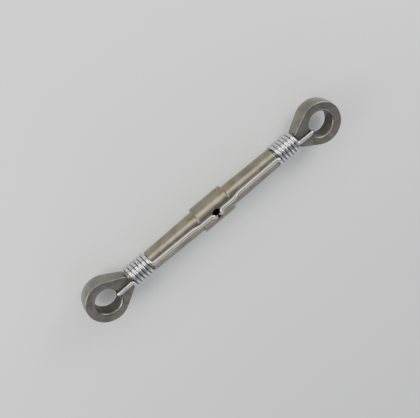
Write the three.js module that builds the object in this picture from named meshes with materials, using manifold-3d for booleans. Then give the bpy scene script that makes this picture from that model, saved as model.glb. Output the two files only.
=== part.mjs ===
// Rigging turnbuckle: a barrel with opposite-hand threads, two eye ends and two locking wires.
// Millimetres. X runs along the turnbuckle and Z along the bores of the eyes. The origin is the
// middle of the barrel. End B is at +X and end A at -X.

import * as THREE from 'three';
import { mergeVertices } from 'three/addons/utils/BufferGeometryUtils.js';
import Module from 'manifold-3d';

// Whole turnbuckle
const OVERALL_LENGTH = 114.3;
const FIT_GAP = 0.06;

// Barrel
const BARREL_LENGTH = 57.15;
const COLLAR_LENGTH = 13.9;
const COLLAR_RADIUS = 5.12;
const COLLAR_CHAMFER = 0.5;
const ARM_RADIUS_AT_COLLAR = 4.13;
const ARM_RADIUS_AT_END = 3.8;
const ARM_CHAMFER = 0.35;
const BORE_RADIUS = 3.02;
const BORE_COUNTERSINK = 0.25;
const CROSS_HOLE_RADIUS = 1.88;
const CROSS_HOLE_CHAMFER = 0.2;

// Eye ends
const SHANK_RADIUS = 2.95;
const SHANK_TIP_X = 10.5;
const SHANK_TIP_CHAMFER = 0.6;
const EYE_RADIUS = 8.2;
const EYE_THICKNESS = 6.7;
const EYE_EDGE = 0.4;
const EYE_BORE_RADIUS = 4.7;
const EYE_BORE_INSET = 0.35;
const EYE_BORE_CHAMFER = 0.35;
const NECK_START_X = 38.25;
const NECK_HALF_WIDTH = 2.95;
const NECK_HALF_THICKNESS = 2.6;
const FULL_THICKNESS_X = 44.6;
const SPINE_END_X = 43;
const SPINE_TIP_RADIUS = 2.7;

// Locking wires
const WIRE_RADIUS = 0.7;
const WIRE_BEND_RADIUS = 1.15;
const TURNS_PER_TAIL = 3;
const COIL_START_X = 28.9;
const COIL_END_X = 37.66;
const TAIL_X_IN_HOLE = 0.87;
const TAIL_Y_IN_HOLE = -0.3;
const TAIL_END_Z = 0.95;
const STRAND_OFFSET_Y = 0.92;
const STRAND_SWING_LENGTH = 1.9;
const STRAND_END_X = 26;
const COLLAR_RAMP_LENGTH = 3.7;
const COIL_CLEARANCE = 0.08;
const BORE_CLEARANCE = 0.02;
const STEP_LENGTH = 0.55;
const STEP_ONTO_SHANK_X = 29.0;
const FACE_STRAIGHT_X = 41;
const FACE_RIDE_AT_BORE = 3.95;
const COIL_STEP_DEG = 22.5;
const BEND_STEPS = 6;
const COLLAR_STEPS = 10;
const ARM_STEPS = 4;

// Facets
const TURNED_SIDES = 64;
const SHANK_SIDES = 48;
const OUTLINE_SIDES = 40;
const WIRE_SIDES = 8;
const CUT_LENGTH = 40;

const wasm = await Module();
wasm.setup();

// ---- Solids ----

function toSolid(geometry) {
  const bare = geometry.clone();
  bare.deleteAttribute('normal');
  bare.deleteAttribute('uv');
  const merged = mergeVertices(bare, 1e-5);
  const vertProperties = new Float32Array(merged.attributes.position.array);
  const triVerts = new Uint32Array(merged.index.array);
  return new wasm.Manifold(new wasm.Mesh({ numProp: 3, vertProperties, triVerts }));
}

function toGeometry(solid) {
  const mesh = solid.getMesh();
  const geometry = new THREE.BufferGeometry();
  geometry.setAttribute('position', new THREE.BufferAttribute(mesh.vertProperties, 3));
  geometry.setIndex(new THREE.BufferAttribute(mesh.triVerts, 1));
  return geometry;
}

// Turns a profile of [distance along X, radius] pairs about the X axis.
function turned(profile, sides) {
  const points = profile.map(([x, radius]) => new THREE.Vector2(radius, x));
  return new THREE.LatheGeometry(points, sides).rotateZ(-Math.PI / 2);
}

// A drill along Z whose flared mouths chamfer the edges of a hole at a height of faceZ on both sides.
function chamferedDrill(x, radius, faceZ, chamfer, sides) {
  const far = CUT_LENGTH / 2;
  const flare = far - faceZ + chamfer;
  const profile = [
    [-far, 0],
    [-far, radius + flare],
    [-faceZ + chamfer, radius],
    [faceZ - chamfer, radius],
    [far, radius + flare],
    [far, 0],
  ];
  return turned(profile, sides).rotateY(-Math.PI / 2).translate(x, 0, 0);
}

// ---- Barrel ----

function barrelGeometry() {
  const end = BARREL_LENGTH / 2;
  const collar = COLLAR_LENGTH / 2;
  const half = [
    [collar - COLLAR_CHAMFER, COLLAR_RADIUS],
    [collar, COLLAR_RADIUS - COLLAR_CHAMFER],
    [collar, ARM_RADIUS_AT_COLLAR],
    [end - ARM_CHAMFER, ARM_RADIUS_AT_END],
    [end, ARM_RADIUS_AT_END - ARM_CHAMFER],
    [end, BORE_RADIUS + BORE_COUNTERSINK],
    [end - BORE_COUNTERSINK, BORE_RADIUS],
  ];
  const otherHalf = half.map(([x, radius]) => [-x, radius]).reverse();
  const profile = [...otherHalf, ...half, otherHalf[0]];
  const body = toSolid(turned(profile, TURNED_SIDES));
  const drill = chamferedDrill(0, CROSS_HOLE_RADIUS, COLLAR_RADIUS, CROSS_HOLE_CHAMFER, SHANK_SIDES);
  return toGeometry(body.subtract(toSolid(drill)));
}

// ---- Eye ends ----

const EYE_CENTRE_X = OVERALL_LENGTH / 2 - EYE_RADIUS;
const EYE_BORE_X = EYE_CENTRE_X - EYE_BORE_INSET;

// The teardrop outline: straight flanks from the neck that run tangent onto the round end.
function eyeOutline() {
  const radius = EYE_RADIUS - EYE_EDGE;
  const neckX = NECK_START_X + EYE_EDGE;
  const neckHalf = NECK_HALF_WIDTH - EYE_EDGE;
  const reach = Math.hypot(EYE_CENTRE_X - neckX, neckHalf);
  const flankAngle = Math.asin(radius / reach) - Math.atan2(neckHalf, EYE_CENTRE_X - neckX);
  const tangent = Math.PI / 2 + flankAngle;
  const shape = new THREE.Shape();
  shape.moveTo(neckX, -neckHalf);
  shape.absarc(EYE_CENTRE_X, 0, radius, -tangent, tangent, false);
  shape.lineTo(neckX, neckHalf);
  shape.closePath();
  return shape;
}

function eyePlate() {
  const depth = EYE_THICKNESS - 2 * EYE_EDGE;
  const plate = new THREE.ExtrudeGeometry(eyeOutline(), {
    depth,
    curveSegments: OUTLINE_SIDES,
    bevelEnabled: true,
    bevelThickness: EYE_EDGE,
    bevelSize: EYE_EDGE,
    bevelSegments: 2,
  });
  return plate.translate(0, 0, -depth / 2);
}

// A block above the plate whose slanted underside thins the plate towards the neck.
function thinningBlock() {
  const startX = NECK_START_X - EYE_EDGE;
  const slope = (EYE_THICKNESS / 2 - NECK_HALF_THICKNESS) / (FULL_THICKNESS_X - NECK_START_X);
  const outline = new THREE.Shape();
  outline.moveTo(startX, NECK_HALF_THICKNESS - slope * EYE_EDGE);
  outline.lineTo(FULL_THICKNESS_X, EYE_THICKNESS / 2);
  outline.lineTo(FULL_THICKNESS_X, EYE_THICKNESS);
  outline.lineTo(startX, EYE_THICKNESS);
  outline.closePath();
  const block = new THREE.ExtrudeGeometry(outline, { depth: CUT_LENGTH, bevelEnabled: false });
  return block.translate(0, 0, -CUT_LENGTH / 2).rotateX(Math.PI / 2);
}

// The round shank, which runs on into the plate as a tapering spine.
function shank() {
  const profile = [
    [SHANK_TIP_X, 0],
    [SHANK_TIP_X, SHANK_RADIUS - SHANK_TIP_CHAMFER],
    [SHANK_TIP_X + SHANK_TIP_CHAMFER, SHANK_RADIUS],
    [NECK_START_X, SHANK_RADIUS],
    [SPINE_END_X, SPINE_TIP_RADIUS],
    [SPINE_END_X, 0],
  ];
  return turned(profile, SHANK_SIDES);
}

function eyeEndGeometry() {
  const drill = chamferedDrill(
    EYE_BORE_X,
    EYE_BORE_RADIUS,
    EYE_THICKNESS / 2,
    EYE_BORE_CHAMFER,
    SHANK_SIDES,
  );
  const block = toSolid(thinningBlock());
  const head = toSolid(eyePlate()).subtract(block).subtract(block.rotate([180, 0, 0]));
  return toGeometry(head.add(toSolid(shank())).subtract(toSolid(drill)));
}

// ---- Locking wires ----

const RIDE = WIRE_RADIUS + FIT_GAP;
const COLLAR_RIDE = COLLAR_RADIUS + RIDE;
const ARM_END_RIDE = ARM_RADIUS_AT_END + RIDE;
const COIL_RIDE = SHANK_RADIUS + RIDE + COIL_CLEARANCE;
const WIRE_X_IN_BORE = EYE_BORE_X - EYE_BORE_RADIUS + RIDE + BORE_CLEARANCE;
const FACE_BEND_X = WIRE_X_IN_BORE - WIRE_BEND_RADIUS;

function ease(from, to, value) {
  return THREE.MathUtils.smoothstep(value, from, to);
}

// How far the middle of a wire stands from the X axis, at a distance x along it.
function rideRadius(x) {
  const collarEnd = COLLAR_LENGTH / 2;
  const barrelEnd = BARREL_LENGTH / 2;
  const along = THREE.MathUtils.clamp((x - collarEnd) / (barrelEnd - collarEnd), 0, 1);
  const armRide = THREE.MathUtils.lerp(ARM_RADIUS_AT_COLLAR + RIDE, ARM_END_RIDE, along);
  const overCollar = THREE.MathUtils.lerp(
    COLLAR_RIDE,
    armRide,
    ease(collarEnd, collarEnd + COLLAR_RAMP_LENGTH, x),
  );
  const ontoShank = THREE.MathUtils.lerp(
    overCollar,
    COIL_RIDE,
    ease(STEP_ONTO_SHANK_X, STEP_ONTO_SHANK_X + STEP_LENGTH, x),
  );
  const alongFace = THREE.MathUtils.clamp((x - NECK_START_X) / (FACE_BEND_X - NECK_START_X), 0, 1);
  return THREE.MathUtils.lerp(ontoShank, FACE_RIDE_AT_BORE, alongFace);
}

// A place on the winding: the angle starts at +Z and grows towards -Y.
function onWinding(side, x, angle) {
  const radius = rideRadius(x);
  return new THREE.Vector3(side * x, -radius * Math.sin(angle), radius * Math.cos(angle));
}

// How far the strand on the near side stands off to one side of the X axis.
function strandY(x) {
  const swing = ease(TAIL_X_IN_HOLE, TAIL_X_IN_HOLE + STRAND_SWING_LENGTH, x);
  return THREE.MathUtils.lerp(TAIL_Y_IN_HOLE, STRAND_OFFSET_Y, swing);
}

function alongBarrel(side, x) {
  return onWinding(side, x, -Math.asin(strandY(x) / rideRadius(x)));
}

// From the inside of the cross hole, up out of its mouth and along the barrel.
function strandPoints(side) {
  const points = [new THREE.Vector3(side * TAIL_X_IN_HOLE, TAIL_Y_IN_HOLE, TAIL_END_Z)];
  const bendZ = COLLAR_RIDE - WIRE_BEND_RADIUS;
  for (let i = 0; i <= BEND_STEPS; i += 1) {
    const turn = (i / BEND_STEPS) * (Math.PI / 2);
    const x = TAIL_X_IN_HOLE + WIRE_BEND_RADIUS * (1 - Math.cos(turn));
    const z = bendZ + WIRE_BEND_RADIUS * Math.sin(turn);
    points.push(new THREE.Vector3(side * x, strandY(x), z));
  }
  const bendEndX = TAIL_X_IN_HOLE + WIRE_BEND_RADIUS;
  const rampEndX = COLLAR_LENGTH / 2 + COLLAR_RAMP_LENGTH;
  for (let i = 1; i <= COLLAR_STEPS; i += 1) {
    points.push(alongBarrel(side, THREE.MathUtils.lerp(bendEndX, rampEndX, i / COLLAR_STEPS)));
  }
  for (let i = 1; i <= ARM_STEPS; i += 1) {
    points.push(alongBarrel(side, THREE.MathUtils.lerp(rampEndX, STRAND_END_X, i / ARM_STEPS)));
  }
  return points;
}

// The turns round the shank, drawn on the unrolled shank as a slanted line with a rounded corner
// at each end, and then wrapped round it.
function coilPoints(side) {
  const startAngle = -Math.asin(STRAND_OFFSET_Y / ARM_END_RIDE);
  const endAngle = side * TURNS_PER_TAIL * 2 * Math.PI;
  const run = (endAngle - startAngle) * COIL_RIDE;
  const slant = new THREE.Vector2(COIL_END_X - COIL_START_X, run).normalize();
  const axial = new THREE.Vector2(1, 0);
  const corner = Math.acos(slant.x);
  const setback = WIRE_BEND_RADIUS * Math.tan(corner / 2);
  const start = new THREE.Vector2(COIL_START_X, startAngle * COIL_RIDE);
  const end = new THREE.Vector2(COIL_END_X, endAngle * COIL_RIDE);
  const flat = [];
  for (let i = 0; i <= BEND_STEPS; i += 1) {
    flat.push(roundedCorner(start, axial, slant, setback, i / BEND_STEPS));
  }
  const straight = start.distanceTo(end) - 2 * setback;
  const steps = Math.ceil(straight / (THREE.MathUtils.degToRad(COIL_STEP_DEG) * COIL_RIDE));
  for (let i = 1; i < steps; i += 1) {
    flat.push(start.clone().addScaledVector(slant, setback + (straight * i) / steps));
  }
  for (let i = 0; i <= BEND_STEPS; i += 1) {
    flat.push(roundedCorner(end, slant, axial, setback, i / BEND_STEPS));
  }
  return flat.map((p) => onWinding(side, p.x, p.y / COIL_RIDE));
}

// A place on the arc that rounds a corner between two directions of travel.
function roundedCorner(corner, before, after, setback, fraction) {
  const turn = Math.acos(THREE.MathUtils.clamp(before.dot(after), -1, 1)) * fraction;
  const sense = Math.sign(before.cross(after));
  const normal = new THREE.Vector2(-before.y, before.x).multiplyScalar(sense);
  return corner
    .clone()
    .addScaledVector(before, -setback + WIRE_BEND_RADIUS * Math.sin(turn))
    .addScaledVector(normal, WIRE_BEND_RADIUS * (1 - Math.cos(turn)));
}

// Along the face of the eye and round the edge of its bore, down to the middle of the eye.
function facePoints(side) {
  const bendZ = FACE_RIDE_AT_BORE - WIRE_BEND_RADIUS;
  const points = [onWinding(side, FACE_STRAIGHT_X, 0)];
  for (let i = 0; i <= BEND_STEPS; i += 1) {
    const turn = (i / BEND_STEPS) * (Math.PI / 2);
    const x = FACE_BEND_X + WIRE_BEND_RADIUS * Math.sin(turn);
    const z = bendZ + WIRE_BEND_RADIUS * Math.cos(turn);
    points.push(new THREE.Vector3(side * x, 0, z));
  }
  points.push(new THREE.Vector3(side * WIRE_X_IN_BORE, 0, 0));
  return points;
}

// A wire is a loop through its eye. Its second tail is the first one turned half round the X axis.
function wireGeometry(side) {
  const tail = [...strandPoints(side), ...coilPoints(side), ...facePoints(side)];
  const otherTail = tail.slice(0, -1).reverse().map((p) => new THREE.Vector3(p.x, -p.y, -p.z));
  const route = new THREE.CatmullRomCurve3([...tail, ...otherTail]);
  route.getUtoTmapping = (u) => u;
  const section = new THREE.Shape();
  for (let i = 0; i < WIRE_SIDES; i += 1) {
    const angle = (i / WIRE_SIDES) * 2 * Math.PI;
    const point = [WIRE_RADIUS * Math.cos(angle), WIRE_RADIUS * Math.sin(angle)];
    if (i === 0) {
      section.moveTo(...point);
    } else {
      section.lineTo(...point);
    }
  }
  section.closePath();
  return new THREE.ExtrudeGeometry(section, {
    steps: route.points.length - 1,
    bevelEnabled: false,
    extrudePath: route,
  });
}

// ---- Materials ----

function satinBronzeGrey() {
  return new THREE.MeshStandardMaterial({ color: 0x96917d, roughness: 0.34, metalness: 1 });
}

function darkSteel() {
  return new THREE.MeshStandardMaterial({ color: 0x6f6a62, roughness: 0.4, metalness: 1 });
}

function brightWire() {
  return new THREE.MeshStandardMaterial({ color: 0xd8d8da, roughness: 0.12, metalness: 1 });
}

// ---- Assembly ----

function named(name, geometry, material) {
  const mesh = new THREE.Mesh(geometry, material);
  mesh.name = name;
  return mesh;
}

const turnbuckle = new THREE.Group();
turnbuckle.add(named('barrel', barrelGeometry(), satinBronzeGrey()));

const eyeEndB = named('eye_end_b', eyeEndGeometry(), darkSteel());
const eyeEndA = named('eye_end_a', eyeEndGeometry(), darkSteel());
eyeEndA.rotation.z = Math.PI;
turnbuckle.add(eyeEndA, eyeEndB);

turnbuckle.add(named('lock_wire_a', wireGeometry(-1), brightWire()));
turnbuckle.add(named('lock_wire_b', wireGeometry(1), brightWire()));

export default turnbuckle;
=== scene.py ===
import math

import bpy
from mathutils import Matrix, Vector


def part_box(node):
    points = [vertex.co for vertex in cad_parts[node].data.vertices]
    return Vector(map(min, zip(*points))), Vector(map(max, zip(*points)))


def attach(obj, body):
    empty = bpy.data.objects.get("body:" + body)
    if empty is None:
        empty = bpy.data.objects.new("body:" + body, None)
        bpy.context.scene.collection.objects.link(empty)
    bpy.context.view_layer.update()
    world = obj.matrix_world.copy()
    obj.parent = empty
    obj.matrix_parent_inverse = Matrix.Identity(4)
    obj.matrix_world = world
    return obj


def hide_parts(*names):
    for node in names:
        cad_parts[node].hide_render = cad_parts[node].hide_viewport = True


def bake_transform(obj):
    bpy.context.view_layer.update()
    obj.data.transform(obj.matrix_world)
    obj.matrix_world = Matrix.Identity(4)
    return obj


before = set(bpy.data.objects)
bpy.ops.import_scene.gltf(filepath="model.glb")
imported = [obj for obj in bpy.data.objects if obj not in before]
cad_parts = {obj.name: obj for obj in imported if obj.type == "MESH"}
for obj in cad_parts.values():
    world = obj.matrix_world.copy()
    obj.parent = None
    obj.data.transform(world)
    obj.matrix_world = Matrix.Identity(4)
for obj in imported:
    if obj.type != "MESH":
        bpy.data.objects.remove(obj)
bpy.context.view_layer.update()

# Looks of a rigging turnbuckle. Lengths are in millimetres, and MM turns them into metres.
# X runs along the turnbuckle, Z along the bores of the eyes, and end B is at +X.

MM = 0.001
SHARP_DEG = 35.0        # faces that meet at more than this keep a sharp edge


def half_length(node):
    """How far a node reaches along X from the middle of the barrel, in millimetres."""
    low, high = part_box(node)
    return max(-low[0], high[0]) / MM


# Barrel
BARREL_END = half_length("barrel")
COLLAR_HALF = 6.95
COLLAR_RADIUS = 5.12
COLLAR_CHAMFER = 0.5
CHAMFER_EDGE = 0.12
COLLAR_ROOT = 0.25
ARM_RADIUS_AT_COLLAR = 4.13
ARM_RADIUS_AT_END = 3.8
ARM_EDGE = 0.3
BARREL_BORE = 3.02
BORE_MOUTH_FLARE = 0.2
BORE_MOUTH_DEPTH = 0.35
BORE_MOUTH_EDGE = 0.08
BORE_MOUTH_ROOT = 0.05
CROSS_HOLE_RADIUS = 1.88
CROSS_HOLE_EDGE = 0.2
TURNED_SIDES = 192
DRILL_SIDES = 96
COLLAR_RINGS = 56       # rings over the collar, so that the cut at the cross hole shades cleanly
CORNER_STEPS = 6

# Eye ends
OVERALL_END = half_length("eye_end_b")
EYE_RADIUS = 8.2
EYE_HALF_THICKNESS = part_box("eye_end_b")[1][2] / MM
EYE_EDGE = 0.45
RIM_CROWN = 0.3         # how far the rim falls back from its middle to its face
EYE_BORE_RADIUS = 4.7
EYE_BORE_EDGE = 0.7
EYE_CENTRE = OVERALL_END - EYE_RADIUS
EYE_BORE_X = EYE_CENTRE - 0.35
NECK_START = 38.25
NECK_BLEND = 0.7        # the stretch that is drawn in where the plate meets the neck
NECK_END_SCALE = 0.84
NECK_HALF_WIDTH = 2.95
NECK_THINNING = 2.6 / EYE_HALF_THICKNESS
FULL_THICKNESS = 44.6   # from here outwards the plate has its full thickness
FOLD_SOFTNESS = 0.3     # share of the thinned stretch that softens the fold at its end
SPINE_END = 43.0        # the shank runs on inside the plate and rises from it as a spine
SPINE_TIP_RADIUS = 2.7
EYE_DIVISIONS = 288
BORE_STEPS = 4
EDGE_STEPS = 8
FACE_STEPS = 16
RIM_STEPS = 5

# Threads of the eye ends
THREAD_RADIUS = 2.98
THREAD_DEPTH = 0.6
THREAD_PITCH = 1.0
THREAD_START = 10.5
THREAD_END = 28.2
CREST_HALF = 0.06       # of the pitch
FLANK = 0.36            # of the pitch
FADE_IN_BEFORE = 0.4
FADE_IN_AFTER = 0.9
FADE_OUT = 0.8
POINT_TAPER = 0.55
POINT_LENGTH = 0.7
PLAIN_SHANK = (THREAD_END + 1.0, NECK_START - 1.5)
THREAD_SIDES = 64
THREAD_STEPS_PER_PITCH = 12

# Locking wires
WIRE_RADIUS = 0.69
WIRE_GAP = 0.03
WIRE_BEND = 1.15
TURNS_PER_TAIL = 3
COIL_START = 28.9
COIL_END = 37.66
TAIL_X = 0.8            # where a tail stands in the cross hole
TAIL_Y = -0.4
TAIL_END_Z = 0.95
TAIL_STEPS = 4
STRAND_OFFSET = 0.92    # how far a strand lies to one side of the top of the barrel
STRAND_SWING = 1.6      # the stretch in which it swings there from the cross hole
STRAND_FINE_STEP = 0.3
STRAND_STEP = 1.2
STRAND_STOP = BARREL_END - 1.6
COLLAR_RAMP = 3.7       # the stretch in which a strand comes down from the collar to the arm
COIL_CLEARANCE = 0.05
STEP_LENGTH = 0.55
STEP_ONTO_SHANK = 29.0
FACE_STATIONS = (40.2, 41.6)
FACE_RIDE_AT_BORE = 3.95
BORE_STATION_Z = 1.4
CUT_END_ROUNDING = 0.18     # of the wire's radius
CUT_END_SHARP_DEG = 50.0
WIRE_SIDES = 20
BEND_STEPS = 14
COIL_STEP_DEG = 7.5

# Camera
LONG_AXIS_DEG = 39.93
EYE_TILT_DEG = 30.0
NEAR_END_DEG = 3.5
CAMERA_DISTANCE = 297.0
FIELD_OF_VIEW_DEG = 28.07
AIM_ALONG = -0.85
AIM_ACROSS = -0.1

# Stage
FLOOR_GAP = 0.05
FLOOR_HALF = 4000
WORLD_STRENGTH = 0.42
NOISE_LOW = 0.3         # nearly all values of a noise texture lie between these two
NOISE_HIGH = 0.7


# ---- Small helpers ----

def lerp(a, b, t):
    return a + (b - a) * t


def ease(start, end, value):
    t = min(max((value - start) / (end - start), 0.0), 1.0)
    return t * t * (3 - 2 * t)


def mesh_piece(name, verts, faces, material, sharp_deg=SHARP_DEG, uvs=None):
    """A mesh object in metres from millimetre points, smooth except over sharp edges."""
    mesh = bpy.data.meshes.new(name)
    mesh.from_pydata([tuple(c * MM for c in v) for v in verts], [], faces)
    if uvs:
        layer = mesh.uv_layers.new(name="along")
        for loop in mesh.loops:
            layer.data[loop.index].uv = uvs[loop.vertex_index]
    mesh.materials.append(material)
    finish_mesh(mesh, sharp_deg)
    obj = bpy.data.objects.new(name, mesh)
    bpy.context.scene.collection.objects.link(obj)
    return obj


def finish_mesh(mesh, sharp_deg):
    mesh.polygons.foreach_set("use_smooth", [True] * len(mesh.polygons))
    mesh.set_sharp_from_angle(angle=math.radians(sharp_deg))
    mesh.update()


def boolean(obj, other, operation):
    """Joins or cuts obj with another object, which is used up."""
    modifier = obj.modifiers.new(operation.lower(), "BOOLEAN")
    modifier.operation = operation
    modifier.solver = "EXACT"
    modifier.object = other
    graph = bpy.context.evaluated_depsgraph_get()
    result = bpy.data.meshes.new_from_object(obj.evaluated_get(graph))
    obj.modifiers.clear()
    old = obj.data
    obj.data = result
    bpy.data.meshes.remove(old)
    bpy.data.objects.remove(other)
    finish_mesh(result, SHARP_DEG)


def grid_faces(rows, columns, wrap_rows, wrap_columns):
    """Quads over a grid of points stored row by row."""
    faces = []
    for i in range(rows if wrap_rows else rows - 1):
        for j in range(columns if wrap_columns else columns - 1):
            a = i * columns + j
            b = i * columns + (j + 1) % columns
            c = ((i + 1) % rows) * columns + (j + 1) % columns
            d = ((i + 1) % rows) * columns + j
            faces.append((a, b, c, d))
    return faces


def rounded_profile(corners):
    """A closed profile of (x, radius, rounding) corners with each corner rounded by an arc."""
    points = []
    count = len(corners)
    for i, (x, y, rounding) in enumerate(corners):
        here = Vector((x, y))
        before = (Vector(corners[i - 1][:2]) - here).normalized()
        after = (Vector(corners[(i + 1) % count][:2]) - here).normalized()
        half = before.angle(after) / 2
        setback = rounding / math.tan(half)
        centre = here + (before + after).normalized() * (rounding / math.sin(half))
        first = here + before * setback - centre
        last = here + after * setback - centre
        turn = first.angle_signed(last)
        for k in range(CORNER_STEPS + 1):
            points.append(centre + Matrix.Rotation(-turn * k / CORNER_STEPS, 2) @ first)
    return points


def turned_mesh(name, profile, sides, material):
    """A ring-shaped solid: a closed profile of (x, radius) points turned about the X axis."""
    verts = []
    for j in range(sides):
        angle = 2 * math.pi * j / sides
        for x, radius in profile:
            verts.append((x, radius * math.cos(angle), radius * math.sin(angle)))
    faces = grid_faces(sides, len(profile), True, True)
    return mesh_piece(name, verts, [f[::-1] for f in faces], material)


# ---- Materials ----

class Shader:
    """A Principled material with a short way to add and join nodes."""

    def __init__(self, name):
        self.material = bpy.data.materials.new(name)
        self.material.use_nodes = True
        self.nodes = self.material.node_tree.nodes
        self.links = self.material.node_tree.links
        self.principled = self.nodes["Principled BSDF"]

    def node(self, kind, **inputs):
        node = self.nodes.new(kind)
        for key, value in inputs.items():
            node.inputs[key].default_value = value
        return node

    def link(self, out_socket, in_socket):
        self.links.new(out_socket, in_socket)

    def coordinates(self, scale, source="Object"):
        where = self.node("ShaderNodeTexCoord")
        mapping = self.node("ShaderNodeMapping", Scale=scale)
        self.link(where.outputs[source], mapping.inputs["Vector"])
        return mapping.outputs["Vector"]

    def noise(self, scale, detail, roughness=0.5, source="Object"):
        texture = self.node("ShaderNodeTexNoise", Scale=1.0, Detail=detail, Roughness=roughness)
        self.link(self.coordinates(scale, source), texture.inputs["Vector"])
        return texture.outputs["Fac"]

    def ramp(self, value, stops):
        ramp = self.node("ShaderNodeValToRGB")
        elements = ramp.color_ramp.elements
        while len(elements) < len(stops):
            elements.new(0.5)
        for element, (position, color) in zip(elements, stops):
            element.position = position
            element.color = (*color, 1.0)
        self.link(value, ramp.inputs["Fac"])
        return ramp.outputs["Color"]

    def range(self, value, low, high):
        """Spreads a noise texture's values from low to high."""
        remap = self.node("ShaderNodeMapRange")
        remap.inputs["From Min"].default_value = NOISE_LOW
        remap.inputs["From Max"].default_value = NOISE_HIGH
        remap.inputs["To Min"].default_value = low
        remap.inputs["To Max"].default_value = high
        self.link(value, remap.inputs["Value"])
        return remap.outputs["Result"]

    def bump(self, height, distance, strength, below=None):
        bump = self.node("ShaderNodeBump", Strength=strength, Distance=distance * MM)
        self.link(height, bump.inputs["Height"])
        if below is not None:
            self.link(below, bump.inputs["Normal"])
        return bump.outputs["Normal"]


def barrel_material():
    """Satin turned metal, warm olive-grey, with fine turning rings and faint handling marks."""
    shader = Shader("barrel_turned_metal")
    patches = shader.noise((260, 340, 340), detail=4.0, roughness=0.6)
    color = shader.ramp(patches, [
        (0.30, (0.150, 0.136, 0.100)),
        (0.52, (0.200, 0.182, 0.136)),
        (0.72, (0.250, 0.229, 0.172)),
    ])
    shader.link(color, shader.principled.inputs["Base Color"])
    shader.principled.inputs["Metallic"].default_value = 1.0
    rings = shader.noise((9000, 60, 60), detail=2.0)
    shader.link(shader.range(rings, 0.31, 0.37), shader.principled.inputs["Roughness"])
    grain = shader.noise((2600, 2600, 2600), detail=2.0)
    normal = shader.bump(rings, 0.0012, 0.4)
    normal = shader.bump(grain, 0.006, 0.35, below=normal)
    shader.link(normal, shader.principled.inputs["Normal"])
    return shader.material


def eye_material():
    """Satin dark steel, warm grey, with a fine forged grain and cloudy patches."""
    shader = Shader("eye_forged_steel")
    patches = shader.noise((330, 330, 330), detail=5.0, roughness=0.62)
    color = shader.ramp(patches, [
        (0.30, (0.120, 0.112, 0.098)),
        (0.52, (0.165, 0.155, 0.136)),
        (0.74, (0.215, 0.203, 0.176)),
    ])
    shader.link(color, shader.principled.inputs["Base Color"])
    shader.principled.inputs["Metallic"].default_value = 1.0
    grain = shader.noise((1900, 1900, 1900), detail=3.0, roughness=0.6)
    shader.link(shader.range(grain, 0.31, 0.43), shader.principled.inputs["Roughness"])
    normal = shader.bump(grain, 0.022, 0.45)
    normal = shader.bump(patches, 0.06, 0.35, below=normal)
    shader.link(normal, shader.principled.inputs["Normal"])
    return shader.material


def wire_material():
    """Bright drawn wire, with faint drawing lines along it."""
    shader = Shader("bright_drawn_wire")
    lines = shader.noise((26, 0.35, 1), detail=2.0, source="UV")
    color = shader.ramp(lines, [
        (0.32, (0.38, 0.38, 0.395)),
        (0.60, (0.56, 0.56, 0.575)),
    ])
    shader.link(color, shader.principled.inputs["Base Color"])
    shader.principled.inputs["Metallic"].default_value = 1.0
    shader.link(shader.range(lines, 0.13, 0.22), shader.principled.inputs["Roughness"])
    normal = shader.bump(lines, 0.004, 0.5)
    shader.link(normal, shader.principled.inputs["Normal"])
    return shader.material


def floor_material():
    """Pale matt studio floor."""
    shader = Shader("pale_floor")
    mottle = shader.noise((6, 6, 6), detail=2.0)
    color = shader.ramp(mottle, [(0.3, (0.73, 0.74, 0.75)), (0.7, (0.76, 0.77, 0.78))])
    shader.link(color, shader.principled.inputs["Base Color"])
    shader.principled.inputs["Roughness"].default_value = 0.75
    return shader.material


# ---- Barrel ----

def with_collar_rings(points):
    """Adds rings to the long straight stretch of the profile that lies over the collar."""
    result = []
    for i, point in enumerate(points):
        following = points[(i + 1) % len(points)]
        result.append(point)
        is_long = abs(following.x - point.x) > COLLAR_HALF
        if is_long and max(abs(point.x), abs(following.x)) <= COLLAR_HALF:
            for k in range(1, COLLAR_RINGS):
                result.append(point.lerp(following, k / COLLAR_RINGS))
    return result


def cross_hole_cutter():
    """A drill along Z with flared mouths, which chamfer the edges of the hole."""
    reach = 2 * COLLAR_RADIUS
    flare = reach - COLLAR_RADIUS + CROSS_HOLE_EDGE
    rows = [
        (-reach, CROSS_HOLE_RADIUS + flare),
        (-COLLAR_RADIUS + CROSS_HOLE_EDGE, CROSS_HOLE_RADIUS),
        (COLLAR_RADIUS - CROSS_HOLE_EDGE, CROSS_HOLE_RADIUS),
        (reach, CROSS_HOLE_RADIUS + flare),
    ]
    verts = []
    for z, radius in rows:
        for j in range(DRILL_SIDES):
            angle = 2 * math.pi * (j + 0.5) / DRILL_SIDES
            verts.append((radius * math.cos(angle), radius * math.sin(angle), z))
    faces = grid_faces(len(rows), DRILL_SIDES, False, True)
    faces.append(tuple(reversed(range(DRILL_SIDES))))
    faces.append(tuple(range(len(verts) - DRILL_SIDES, len(verts))))
    return mesh_piece("cross_hole_cutter", verts, faces, barrel_metal)


def barrel_corners():
    """The barrel's profile: one end from the collar out to the bore, and its mirror image."""
    half = [
        (COLLAR_HALF - COLLAR_CHAMFER, COLLAR_RADIUS, CHAMFER_EDGE),
        (COLLAR_HALF, COLLAR_RADIUS - COLLAR_CHAMFER, CHAMFER_EDGE),
        (COLLAR_HALF, ARM_RADIUS_AT_COLLAR, COLLAR_ROOT),
        (BARREL_END, ARM_RADIUS_AT_END, ARM_EDGE),
        (BARREL_END, BARREL_BORE + BORE_MOUTH_FLARE, BORE_MOUTH_EDGE),
        (BARREL_END - BORE_MOUTH_DEPTH, BARREL_BORE, BORE_MOUTH_ROOT),
    ]
    other = [(-x, radius, rounding) for x, radius, rounding in reversed(half)]
    return other + half


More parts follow.
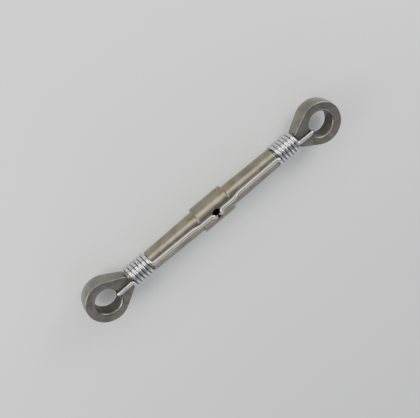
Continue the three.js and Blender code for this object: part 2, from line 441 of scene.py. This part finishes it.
def make_barrel():
    profile = with_collar_rings(rounded_profile(barrel_corners()))
    barrel = turned_mesh("barrel_skin", profile, TURNED_SIDES, barrel_metal)
    boolean(barrel, cross_hole_cutter(), "DIFFERENCE")
    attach(barrel, "barrel")
    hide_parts("barrel")


# ---- Eye ends ----

def eye_section():
    """Half of the eye's wall section, from the middle of the bore out to the middle of the rim.

    Each entry is (from bore, from rim, height). On the bore's side the first is a distance from the
    bore's wall. Otherwise the second is a share of the way across the face, or where it isn't above
    zero, a distance inwards from the rim's outline.
    """
    top = EYE_HALF_THICKNESS
    section = []
    for k in range(BORE_STEPS + 1):
        section.append((0.0, None, (top - EYE_BORE_EDGE) * k / BORE_STEPS))
    for k in range(1, EDGE_STEPS + 1):
        turn = math.pi / 2 * k / EDGE_STEPS
        section.append((
            EYE_BORE_EDGE * (1 - math.cos(turn)),
            None,
            top - EYE_BORE_EDGE + EYE_BORE_EDGE * math.sin(turn),
        ))
    for k in range(1, FACE_STEPS):
        section.append((None, k / FACE_STEPS, top))
    for k in range(EDGE_STEPS + 1):
        turn = math.pi / 2 * (1 - k / EDGE_STEPS)
        inset = crown_at(top - EYE_EDGE) + EYE_EDGE * (1 - math.cos(turn))
        section.append((None, -inset, top - EYE_EDGE + EYE_EDGE * math.sin(turn)))
    for k in range(1, RIM_STEPS + 1):
        height = (top - EYE_EDGE) * (1 - k / RIM_STEPS)
        section.append((None, -crown_at(height), height))
    return section


def crown_at(height):
    """How far the crowned rim has fallen back at a height above its middle."""
    return RIM_CROWN * (height / EYE_HALF_THICKNESS) ** 2


def outline_reach(angle, inset):
    """Distance from the bore's middle to the teardrop outline, moved inwards by inset."""
    radius = EYE_RADIUS - inset
    half_width = NECK_HALF_WIDTH - inset
    c, s = math.cos(angle), abs(math.sin(angle))
    offset = EYE_CENTRE - EYE_BORE_X
    reach_round = offset * c + math.sqrt(radius ** 2 - (offset * s) ** 2)
    span = EYE_CENTRE - NECK_START
    flank = math.asin(radius / math.hypot(span, half_width)) - math.atan2(half_width, span)
    tangent = Vector((offset - radius * math.sin(flank), radius * math.cos(flank)))
    point = Vector((reach_round * c, reach_round * s))
    if point.x >= tangent.x:
        return reach_round
    neck = Vector((NECK_START - EYE_BORE_X, half_width))
    along = tangent - neck
    across = c * along.y - s * along.x
    reach_flank = (neck.x * along.y - neck.y * along.x) / across
    if c * reach_flank < neck.x:
        return neck.x / c
    return reach_flank


def blend_into_neck(x, y, z):
    """Thins the plate towards the neck and draws it in a little at its very end."""
    t = min(max((x - NECK_START) / (FULL_THICKNESS - NECK_START), 0.0), 1 + FOLD_SOFTNESS)
    t -= max(t - 1 + FOLD_SOFTNESS, 0.0) ** 2 / (4 * FOLD_SOFTNESS)
    thinning = lerp(NECK_THINNING, 1.0, t)
    t = min(max((x - NECK_START) / NECK_BLEND, 0.0), 1.0)
    scale = lerp(NECK_END_SCALE, 1.0, math.sqrt(t * (2 - t)))
    return x, y * scale, z * scale * thinning


def eye_head(name):
    """The flat head: its wall section carried round the bore, out to the teardrop outline."""
    half = eye_section()
    loop = half + [(b, r, -h) for b, r, h in reversed(half[1:-1])]
    inner = EYE_BORE_RADIUS + EYE_BORE_EDGE
    edge_inset = crown_at(EYE_HALF_THICKNESS - EYE_EDGE) + EYE_EDGE
    verts = []
    for j in range(EYE_DIVISIONS):
        angle = 2 * math.pi * (j + 0.5) / EYE_DIVISIONS
        outer = outline_reach(angle, edge_inset)
        for from_bore, from_rim, height in loop:
            if from_bore is not None:
                reach = EYE_BORE_RADIUS + from_bore
            elif from_rim > 0:
                reach = lerp(inner, outer, from_rim)
            else:
                reach = outline_reach(angle, -from_rim)
            x = EYE_BORE_X + reach * math.cos(angle)
            verts.append(blend_into_neck(x, reach * math.sin(angle), height))
    faces = grid_faces(EYE_DIVISIONS, len(loop), True, True)
    return mesh_piece(name, verts, faces, eye_steel)


def shank_radius(x, angle, hand):
    """Radius of the shank: a V thread with flat root and crest, which fades out at both ends."""
    if x > NECK_START:
        return SPINE_TIP_RADIUS
    phase = (x / THREAD_PITCH - hand * angle / (2 * math.pi)) % 1.0
    groove = min(max((abs(phase - 0.5) - CREST_HALF) / FLANK, 0.0), 1.0)
    fade = ease(THREAD_START - FADE_IN_BEFORE, THREAD_START + FADE_IN_AFTER, x)
    fade *= 1 - ease(THREAD_END - FADE_OUT, THREAD_END, x)
    point = POINT_TAPER * (1 - ease(THREAD_START, THREAD_START + POINT_LENGTH, x))
    return THREAD_RADIUS - THREAD_DEPTH * groove * fade - point


def eye_shank(name, hand):
    """The round shank with its thread. Hand is 1 for a right-hand thread and -1 for a left-hand one."""
    steps = round((THREAD_END - THREAD_START) / THREAD_PITCH * THREAD_STEPS_PER_PITCH)
    rings = [lerp(THREAD_START, THREAD_END, i / steps) for i in range(steps + 1)]
    rings += [*PLAIN_SHANK, NECK_START, SPINE_END]
    verts = [(THREAD_START, 0, 0)]
    for x in rings:
        for j in range(THREAD_SIDES):
            angle = 2 * math.pi * j / THREAD_SIDES
            radius = shank_radius(x, angle, hand)
            verts.append((x, radius * math.cos(angle), radius * math.sin(angle)))
    verts.append((rings[-1], 0, 0))
    faces = []
    for a, b, c, d in grid_faces(len(rings), THREAD_SIDES, False, True):
        faces.append((b + 1, c + 1, d + 1, a + 1))
    last = len(verts) - 1
    for j in range(THREAD_SIDES):
        following = (j + 1) % THREAD_SIDES
        faces.append((0, following + 1, j + 1))
        base = last - THREAD_SIDES
        faces.append((last, base + j, base + following))
    return mesh_piece(name, verts, faces, eye_steel)


def make_eye_end(letter, side):
    """End A has a right-hand thread and end B a left-hand one."""
    hand = -side
    head = eye_head(f"eye_{letter}_skin")
    boolean(head, eye_shank(f"shank_{letter}", hand), "UNION")
    if side < 0:
        head.data.transform(Matrix.Rotation(math.pi, 4, "Z"))
    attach(head, f"eye_end_{letter}")
    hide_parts(f"eye_end_{letter}")


# ---- Locking wires ----

RIDE = WIRE_RADIUS + WIRE_GAP
COLLAR_RIDE = COLLAR_RADIUS + RIDE
ARM_END_RIDE = ARM_RADIUS_AT_END + RIDE
COIL_RIDE = THREAD_RADIUS + RIDE + COIL_CLEARANCE
WIRE_X_IN_BORE = EYE_BORE_X - EYE_BORE_RADIUS + RIDE
FACE_BEND = WIRE_X_IN_BORE - WIRE_BEND


def ride_radius(x):
    """How far the middle of a wire stands from the X axis."""
    along = min(max((x - COLLAR_HALF) / (BARREL_END - COLLAR_HALF), 0.0), 1.0)
    arm = lerp(ARM_RADIUS_AT_COLLAR + RIDE, ARM_END_RIDE, along)
    ride = lerp(COLLAR_RIDE, arm, ease(COLLAR_HALF, COLLAR_HALF + COLLAR_RAMP, x))
    ride = lerp(ride, COIL_RIDE, ease(STEP_ONTO_SHANK, STEP_ONTO_SHANK + STEP_LENGTH, x))
    along_face = min(max((x - NECK_START) / (FACE_BEND - NECK_START), 0.0), 1.0)
    return lerp(ride, FACE_RIDE_AT_BORE, along_face)


def on_winding(side, x, angle):
    """A place on the winding. The angle starts at +Z and grows towards -Y."""
    radius = ride_radius(x)
    return Vector((side * x, -radius * math.sin(angle), radius * math.cos(angle)))


def strand_y(x):
    """How far a strand lies to the side of the top of the barrel."""
    return lerp(TAIL_Y, STRAND_OFFSET, ease(TAIL_X, TAIL_X + STRAND_SWING, x))


def strand_points(side):
    """From inside the cross hole, out of its mouth and along the barrel."""
    points = []
    for k in range(TAIL_STEPS):
        z = lerp(TAIL_END_Z, COLLAR_RIDE - WIRE_BEND, k / TAIL_STEPS)
        points.append(Vector((side * TAIL_X, TAIL_Y, z)))
    for i in range(BEND_STEPS + 1):
        turn = math.pi / 2 * i / BEND_STEPS
        x = TAIL_X + WIRE_BEND * (1 - math.cos(turn))
        z = COLLAR_RIDE - WIRE_BEND + WIRE_BEND * math.sin(turn)
        points.append(Vector((side * x, strand_y(x), z)))
    x = TAIL_X + WIRE_BEND + STRAND_FINE_STEP
    while x < STRAND_STOP:
        angle = -math.asin(strand_y(x) / ride_radius(x))
        points.append(on_winding(side, x, angle))
        x += STRAND_FINE_STEP if x < COLLAR_HALF + COLLAR_RAMP else STRAND_STEP
    return points


def rounded_corner(corner, before, after, setback, fraction):
    """A place on the arc that rounds a corner between two directions of travel."""
    turn = before.angle(after) * fraction
    sense = math.copysign(1.0, before.cross(after))
    normal = Vector((-before.y, before.x)) * sense
    along = before * (WIRE_BEND * math.sin(turn) - setback)
    return corner + along + normal * (WIRE_BEND * (1 - math.cos(turn)))


def coil_points(side):
    """The turns round the shank, laid out flat and then wrapped round it."""
    start_angle = -math.asin(STRAND_OFFSET / ARM_END_RIDE)
    end_angle = side * TURNS_PER_TAIL * 2 * math.pi
    start = Vector((COIL_START, start_angle * COIL_RIDE))
    end = Vector((COIL_END, end_angle * COIL_RIDE))
    slant = (end - start).normalized()
    axial = Vector((1, 0))
    setback = WIRE_BEND * math.tan(axial.angle(slant) / 2)
    fractions = [i / BEND_STEPS for i in range(BEND_STEPS + 1)]
    flat = [rounded_corner(start, axial, slant, setback, f) for f in fractions]
    straight = (end - start).length - 2 * setback
    steps = math.ceil(straight / (math.radians(COIL_STEP_DEG) * COIL_RIDE))
    flat += [start + slant * (setback + straight * i / steps) for i in range(1, steps)]
    flat += [rounded_corner(end, slant, axial, setback, f) for f in fractions]
    return [on_winding(side, p.x, p.y / COIL_RIDE) for p in flat]


def face_points(side):
    """Along the face of the eye and round the edge of its bore, down to the middle of the eye."""
    points = [on_winding(side, x, 0) for x in FACE_STATIONS]
    for i in range(BEND_STEPS + 1):
        turn = math.pi / 2 * i / BEND_STEPS
        x = FACE_BEND + WIRE_BEND * math.sin(turn)
        z = FACE_RIDE_AT_BORE - WIRE_BEND + WIRE_BEND * math.cos(turn)
        points.append(Vector((side * x, 0, z)))
    points.append(Vector((side * WIRE_X_IN_BORE, 0, BORE_STATION_Z)))
    points.append(Vector((side * WIRE_X_IN_BORE, 0, 0)))
    return points


def wire_route(side):
    """A loop through the eye. The second tail is the first turned half round the X axis."""
    tail = strand_points(side) + coil_points(side) + face_points(side)
    other = [Vector((p.x, -p.y, -p.z)) for p in reversed(tail[:-1])]
    return tail + other


def swept_tube(name, route, radius, sides, material):
    """A round tube along a route, with lightly rounded cut ends."""
    tangents = []
    for i in range(len(route)):
        ahead = route[min(i + 1, len(route) - 1)]
        behind = route[max(i - 1, 0)]
        tangents.append((ahead - behind).normalized())
    normal = tangents[0].orthogonal().normalized()
    edge = CUT_END_ROUNDING * radius
    stations = [(route[0], 0, radius - edge)]
    stations.append((route[0] + tangents[0] * edge, 0, radius))
    stations += [(point, i, radius) for i, point in enumerate(route)][1:-1]
    stations.append((route[-1] - tangents[-1] * edge, len(route) - 1, radius))
    stations.append((route[-1], len(route) - 1, radius - edge))
    verts, uvs = [], []
    length = 0.0
    for k, (point, i, size) in enumerate(stations):
        normal = (normal - tangents[i] * normal.dot(tangents[i])).normalized()
        binormal = tangents[i].cross(normal)
        length += (point - stations[max(k - 1, 0)][0]).length
        for j in range(sides):
            angle = 2 * math.pi * j / sides
            offset = normal * math.cos(angle) + binormal * math.sin(angle)
            verts.append(point + offset * size)
            uvs.append((min(j, sides - j) / sides, length))
    faces = grid_faces(len(stations), sides, False, True)
    faces.append(tuple(reversed(range(sides))))
    faces.append(tuple(range(len(verts) - sides, len(verts))))
    return mesh_piece(name, verts, faces, material, CUT_END_SHARP_DEG, uvs)


def make_wire(letter, side):
    """One locking wire."""
    name = f"lock_wire_{letter}_skin"
    wire = swept_tube(name, wire_route(side), WIRE_RADIUS, WIRE_SIDES, bright_wire)
    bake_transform(wire)
    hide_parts(f"lock_wire_{letter}")


# ---- Stage, lights and camera ----

def view_axes():
    """Camera direction, and the picture's right and up, as vectors in the frame."""
    tilt = math.radians(EYE_TILT_DEG)
    swing = math.radians(NEAR_END_DEG)
    toward = Vector((0, math.sin(tilt), math.cos(tilt))) * math.cos(swing)
    toward -= Vector((1, 0, 0)) * math.sin(swing)
    along = (Vector((1, 0, 0)) - toward * toward.x).normalized()
    across = along.cross(toward)
    roll = math.radians(LONG_AXIS_DEG)
    right = along * math.cos(roll) + across * math.sin(roll)
    up = along * math.sin(roll) - across * math.cos(roll)
    return toward, right, up


def make_camera():
    toward, right, up = view_axes()
    aim = right * AIM_ALONG + up * AIM_ACROSS
    data = bpy.data.cameras.new("camera")
    data.angle = math.radians(FIELD_OF_VIEW_DEG)
    data.clip_start = 0.01
    camera = bpy.data.objects.new("camera", data)
    bpy.context.scene.collection.objects.link(camera)
    place = (aim + toward * CAMERA_DISTANCE) * MM
    basis = Matrix((right, up, toward)).transposed().to_4x4()
    camera.matrix_world = Matrix.Translation(place) @ basis
    bpy.context.scene.camera = camera


def softbox(name, direction, distance, width, height, power, color):
    """An area light that faces the middle of the object."""
    data = bpy.data.lights.new(name, "AREA")
    data.shape = "RECTANGLE"
    data.size = width * MM
    data.size_y = height * MM
    data.energy = power
    data.color = color
    light = bpy.data.objects.new(name, data)
    light.location = direction.normalized() * distance * MM
    light.rotation_euler = direction.to_track_quat("Z", "Y").to_euler()
    bpy.context.scene.collection.objects.link(light)


def make_lights():
    """The key makes the long band on the barrel, and the low light fills the faces of the eyes."""
    softbox("key", Vector((-0.05, 0.86, 0.51)), 340, 480, 170, 0.95, (1.0, 0.97, 0.91))
    softbox("low", Vector((0.0, -0.82, 0.57)), 360, 420, 320, 0.42, (1.0, 0.97, 0.98))
    for name, side in (("left", -1.0), ("right", 1.0)):
        softbox(name, Vector((side, 0.45, 0.50)), 340, 160, 160, 0.95, (1.0, 0.98, 0.95))
    world = bpy.data.worlds.new("studio")
    world.use_nodes = True
    background = world.node_tree.nodes["Background"]
    background.inputs["Color"].default_value = (0.93, 0.96, 1.0, 1.0)
    background.inputs["Strength"].default_value = WORLD_STRENGTH
    bpy.context.scene.world = world


def make_floor():
    """A broad plane just under the wires, which are the lowest things."""
    level = -(COLLAR_RIDE + WIRE_RADIUS) - FLOOR_GAP
    signs = ((-1, -1), (1, -1), (1, 1), (-1, 1))
    corners = [(FLOOR_HALF * x, FLOOR_HALF * y, level) for x, y in signs]
    floor = mesh_piece("floor", corners, [(0, 1, 2, 3)], floor_material())


# ---- Assembly ----

barrel_metal = barrel_material()
eye_steel = eye_material()
bright_wire = wire_material()

make_barrel()
for end_letter, end_side in (("a", -1), ("b", 1)):
    make_eye_end(end_letter, end_side)
    make_wire(end_letter, end_side)
make_floor()
make_lights()
make_camera()
